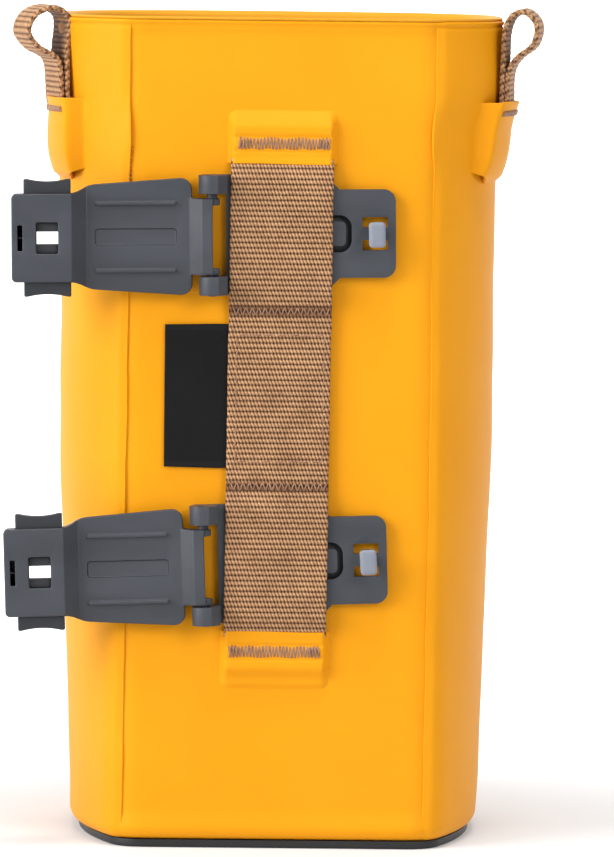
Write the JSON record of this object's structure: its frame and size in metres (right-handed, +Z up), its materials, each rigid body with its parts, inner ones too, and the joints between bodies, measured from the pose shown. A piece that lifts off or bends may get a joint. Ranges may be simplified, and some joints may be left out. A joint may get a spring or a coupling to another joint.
{
  "type": "bottle sling pouch",
  "caption": "Open-topped coated-fabric pouch with two webbing carry loops and hinged webbing clips on its flat back.",
  "frame": {"origin": "centre of the sole's underside, on the ground", "axes": "+Z up out of the pouch's mouth, the flat back panel with its clips faces -Y, +X to the right seen from the back"},
  "size_m": [0.135, 0.1055, 0.2078],
  "materials": {
    "yellow_fabric": "matt coated fabric",
    "liner": "matt coated fabric",
    "stiffener": "thin board",
    "pad": "closed-cell foam",
    "sole": "matt",
    "webbing": "woven nylon",
    "label": "woven",
    "clip_plastic": "moulded nylon",
    "spring_steel": "wire"
  },
  "bodies": {
    "bag": {"side_wrap": "yellow_fabric", "back_panel": "yellow_fabric", "wall_stiffener": "stiffener", "inner_liner": "liner", "base_panel": "yellow_fabric", "base_pad": "pad", "base_sole": "sole", "webbing_strip": "webbing", "upper_anchor_patch": "yellow_fabric", "lower_anchor_patch": "yellow_fabric", "label_tab": "label", "carry_loop_right": "webbing", "carry_loop_left": "webbing", "side_patch_right": "yellow_fabric", "side_patch_left": "yellow_fabric", "upper_clip_base": "clip_plastic", "lower_clip_base": "clip_plastic"},
    "upper_arm": {"upper_clip_arm": "clip_plastic", "upper_latch_cover": "clip_plastic", "upper_clip_top_spring": "spring_steel", "upper_clip_bottom_spring": "spring_steel"},
    "upper_top_button": {"upper_clip_top_button": "clip_plastic"},
    "upper_bottom_button": {"upper_clip_bottom_button": "clip_plastic"},
    "lower_arm": {"lower_clip_arm": "clip_plastic", "lower_latch_cover": "clip_plastic", "lower_clip_top_spring": "spring_steel", "lower_clip_bottom_spring": "spring_steel"},
    "lower_top_button": {"lower_clip_top_button": "clip_plastic"},
    "lower_bottom_button": {"lower_clip_bottom_button": "clip_plastic"}
  },
  "joints": [
    {"name": "upper_arm_hinge", "type": "hinge", "parent": "bag", "child": "upper_arm", "pos_m": [-0.01679, -0.05325, 0.15274], "axis": [-0.0157, 0, 0.9999], "range_deg": [0, 180]},
    {"name": "upper_top_press", "type": "slide", "parent": "upper_arm", "child": "upper_top_button", "axis": [0.0157, 0, -0.9999], "range_m": [0, 0.0021], "stiffness_N_per_m": 300, "springref_m": -0.002, "deforming": ["upper_clip_top_spring"]},
    {"name": "upper_bottom_press", "type": "slide", "parent": "upper_arm", "child": "upper_bottom_button", "axis": [-0.0157, 0, 0.9999], "range_m": [0, 0.0021], "stiffness_N_per_m": 300, "springref_m": -0.002, "deforming": ["upper_clip_bottom_spring"]},
    {"name": "lower_arm_hinge", "type": "hinge", "parent": "bag", "child": "lower_arm", "pos_m": [-0.01797, -0.05325, 0.07089], "axis": [-0.0366, 0, 0.9993], "range_deg": [0, 180]},
    {"name": "lower_top_press", "type": "slide", "parent": "lower_arm", "child": "lower_top_button", "axis": [0.0366, 0, -0.9993], "range_m": [0, 0.0021], "stiffness_N_per_m": 300, "springref_m": -0.002, "deforming": ["lower_clip_top_spring"]},
    {"name": "lower_bottom_press", "type": "slide", "parent": "lower_arm", "child": "lower_bottom_button", "axis": [-0.0366, 0, 0.9993], "range_m": [0, 0.0021], "stiffness_N_per_m": 300, "springref_m": -0.002, "deforming": ["lower_clip_bottom_spring"]}
  ]
}
